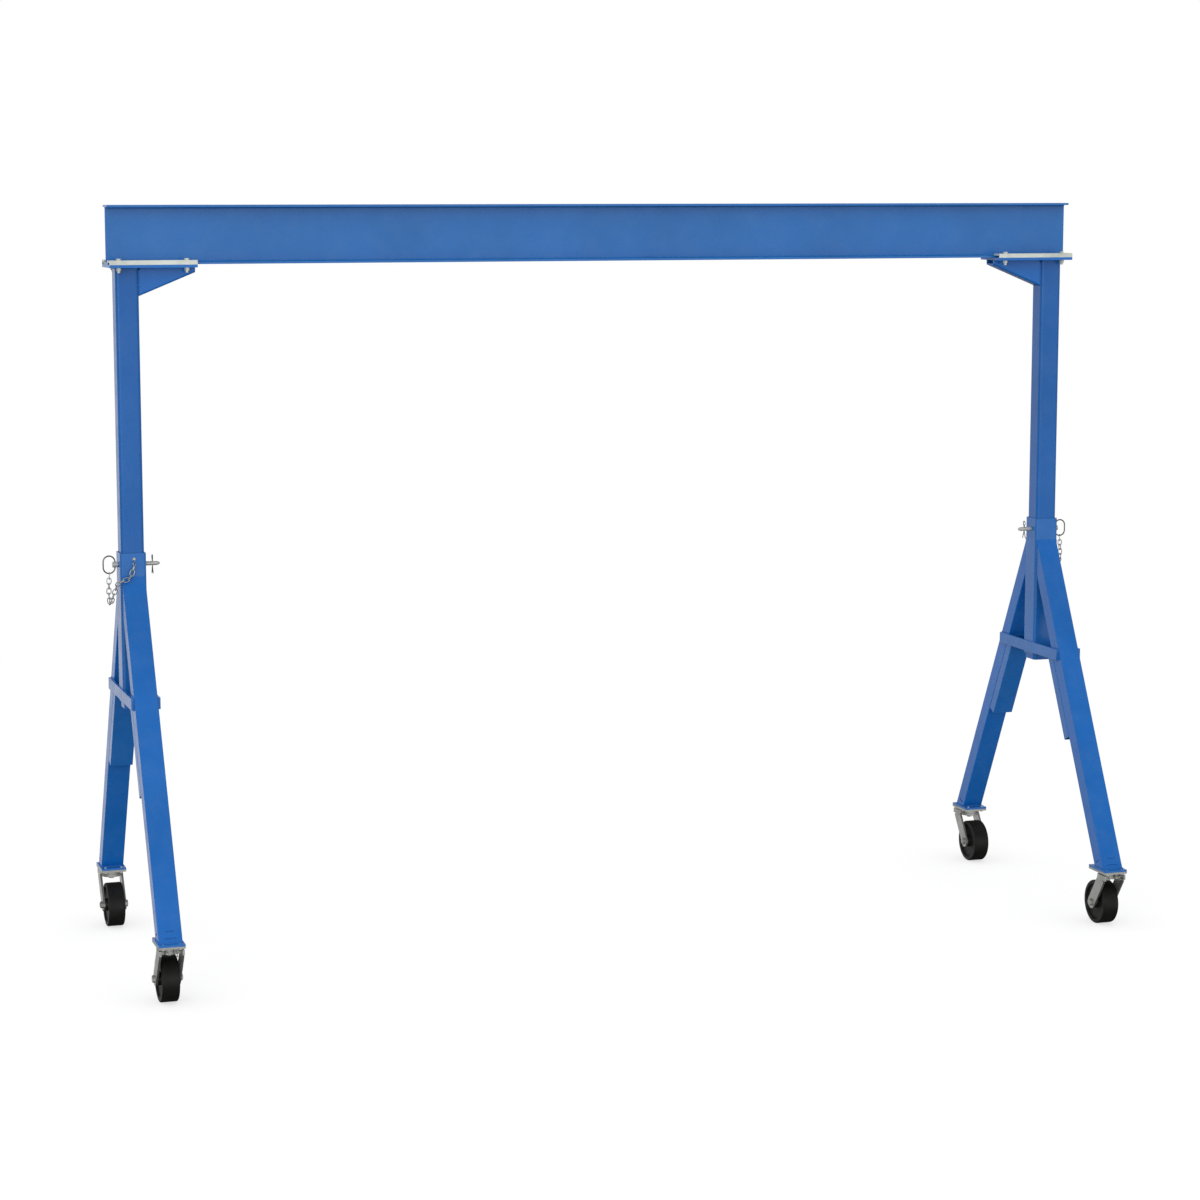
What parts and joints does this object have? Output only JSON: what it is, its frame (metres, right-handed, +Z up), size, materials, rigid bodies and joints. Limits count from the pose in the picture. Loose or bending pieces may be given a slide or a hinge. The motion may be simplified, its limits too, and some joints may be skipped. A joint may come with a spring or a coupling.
{
  "type": "portable gantry crane",
  "caption": "Portable gantry crane: I-beam on two telescoping posts with A-shaped end frames, pinned height adjustment and swivel casters.",
  "frame": {"origin": "on the ground, under the middle of the beam", "axes": "+X along the beam, +Y across it, +Z up"},
  "size_m": [4.6592, 1.6876, 3.343],
  "materials": {
    "beam_blue": "satin enamel",
    "upper_blue": "satin enamel",
    "frame_blue": "satin enamel",
    "zinc": "zinc plated",
    "caster_zinc": "zinc plated",
    "pin_zinc": "zinc plated",
    "wheel": "moulded, slight sheen"
  },
  "bodies": {
    "beam": {"i_beam": "beam_blue", "left_saddle_plate": "upper_blue", "left_clamp_bars": "zinc", "left_clamp_spacers": "zinc", "left_clamp_bolts": "zinc", "left_clamp_nuts": "zinc", "left_post": "upper_blue", "left_knee_brace": "upper_blue", "right_saddle_plate": "upper_blue", "right_clamp_bars": "zinc", "right_clamp_spacers": "zinc", "right_clamp_bolts": "zinc", "right_clamp_nuts": "zinc", "right_post": "upper_blue", "right_knee_brace": "upper_blue"},
    "left_base": {"left_sleeve": "frame_blue", "left_front_leg": "frame_blue", "left_back_leg": "frame_blue", "left_leg_stiffeners": "frame_blue", "left_cross_bars": "frame_blue", "left_foot_plates": "frame_blue", "left_caster_bolts": "zinc", "left_safety_chain": "pin_zinc", "left_chain_screw": "pin_zinc", "left_front_caster_plate": "caster_zinc", "left_back_caster_plate": "caster_zinc"},
    "left_pin": {"left_lock_pin": "pin_zinc", "left_cotter_pin": "pin_zinc"},
    "left_ring": {"left_pull_ring": "pin_zinc"},
    "left_front_swivel": {"left_front_caster_fork": "caster_zinc", "left_front_caster_axle": "caster_zinc"},
    "left_front_wheel": {"left_front_caster_wheel": "wheel"},
    "left_front_lock": {"left_front_swivel_lock": "caster_zinc"},
    "left_back_swivel": {"left_back_caster_fork": "caster_zinc", "left_back_caster_axle": "caster_zinc"},
    "left_back_wheel": {"left_back_caster_wheel": "wheel"},
    "left_back_lock": {"left_back_swivel_lock": "caster_zinc"},
    "right_base": {"right_sleeve": "frame_blue", "right_front_leg": "frame_blue", "right_back_leg": "frame_blue", "right_leg_stiffeners": "frame_blue", "right_cross_bars": "frame_blue", "right_foot_plates": "frame_blue", "right_caster_bolts": "zinc", "right_safety_chain": "pin_zinc", "right_chain_screw": "pin_zinc", "right_front_caster_plate": "caster_zinc", "right_back_caster_plate": "caster_zinc"},
    "right_pin": {"right_lock_pin": "pin_zinc", "right_cotter_pin": "pin_zinc"},
    "right_ring": {"right_pull_ring": "pin_zinc"},
    "right_front_swivel": {"right_front_caster_fork": "caster_zinc", "right_front_caster_axle": "caster_zinc"},
    "right_front_wheel": {"right_front_caster_wheel": "wheel"},
    "right_front_lock": {"right_front_swivel_lock": "caster_zinc"},
    "right_back_swivel": {"right_back_caster_fork": "caster_zinc", "right_back_caster_axle": "caster_zinc"},
    "right_back_wheel": {"right_back_caster_wheel": "wheel"},
    "right_back_lock": {"right_back_swivel_lock": "caster_zinc"}
  },
  "joints": [
    {"name": "left_height", "type": "slide", "parent": "left_base", "child": "beam", "axis": [0, 0, 1], "range_m": [0, 0.4572]},
    {"name": "left_pin_play", "type": "slide", "parent": "left_base", "child": "left_pin", "axis": [-1, 0, 0], "range_m": [0, 0.03], "deforming": ["left_safety_chain"]},
    {"name": "left_ring_swing", "type": "hinge", "parent": "left_pin", "child": "left_ring", "pos_m": [-2.27525, 0, 1.785], "axis": [0, 0, 1], "range_deg": [-60, 60], "deforming": ["left_safety_chain"]},
    {"name": "left_front_swivel_turn", "type": "hinge", "parent": "left_base", "child": "left_front_swivel", "pos_m": [-2.20345, -0.752, 0.235], "axis": [0, 0, 1], "continuous": true},
    {"name": "left_front_wheel_spin", "type": "hinge", "parent": "left_front_swivel", "child": "left_front_wheel", "pos_m": [-2.20345, -0.696, 0.1016], "axis": [1, 0, 0], "continuous": true},
    {"name": "left_front_swivel_lock", "type": "slide", "parent": "left_front_swivel", "child": "left_front_lock", "axis": [0, -1, 0], "range_m": [-0.008, 0]},
    {"name": "left_back_swivel_turn", "type": "hinge", "parent": "left_base", "child": "left_back_swivel", "pos_m": [-2.20345, 0.752, 0.235], "axis": [0, 0, 1], "continuous": true},
    {"name": "left_back_wheel_spin", "type": "hinge", "parent": "left_back_swivel", "child": "left_back_wheel", "pos_m": [-2.20345, 0.696, 0.1016], "axis": [1, 0, 0], "continuous": true},
    {"name": "left_back_swivel_lock", "type": "slide", "parent": "left_back_swivel", "child": "left_back_lock", "axis": [0, 1, 0], "range_m": [-0.008, 0]},
    {"name": "right_height", "type": "slide", "parent": "beam", "child": "right_base", "axis": [0, 0, -1], "range_m": [0, 0.4572]},
    {"name": "right_pin_play", "type": "slide", "parent": "right_base", "child": "right_pin", "axis": [1, 0, 0], "range_m": [0, 0.03], "deforming": ["right_safety_chain"]},
    {"name": "right_ring_swing", "type": "hinge", "parent": "right_pin", "child": "right_ring", "pos_m": [2.27525, 0, 1.785], "axis": [0, 0, 1], "range_deg": [-60, 60], "deforming": ["right_safety_chain"]},
    {"name": "right_front_swivel_turn", "type": "hinge", "parent": "right_base", "child": "right_front_swivel", "pos_m": [2.20345, -0.752, 0.235], "axis": [0, 0, 1], "continuous": true},
    {"name": "right_front_wheel_spin", "type": "hinge", "parent": "right_front_swivel", "child": "right_front_wheel", "pos_m": [2.20345, -0.696, 0.1016], "axis": [1, 0, 0], "continuous": true},
    {"name": "right_front_swivel_lock", "type": "slide", "parent": "right_front_swivel", "child": "right_front_lock", "axis": [0, -1, 0], "range_m": [-0.008, 0]},
    {"name": "right_back_swivel_turn", "type": "hinge", "parent": "right_base", "child": "right_back_swivel", "pos_m": [2.20345, 0.752, 0.235], "axis": [0, 0, 1], "continuous": true},
    {"name": "right_back_wheel_spin", "type": "hinge", "parent": "right_back_swivel", "child": "right_back_wheel", "pos_m": [2.20345, 0.696, 0.1016], "axis": [1, 0, 0], "continuous": true},
    {"name": "right_back_swivel_lock", "type": "slide", "parent": "right_back_swivel", "child": "right_back_lock", "axis": [0, 1, 0], "range_m": [-0.008, 0]}
  ]
}
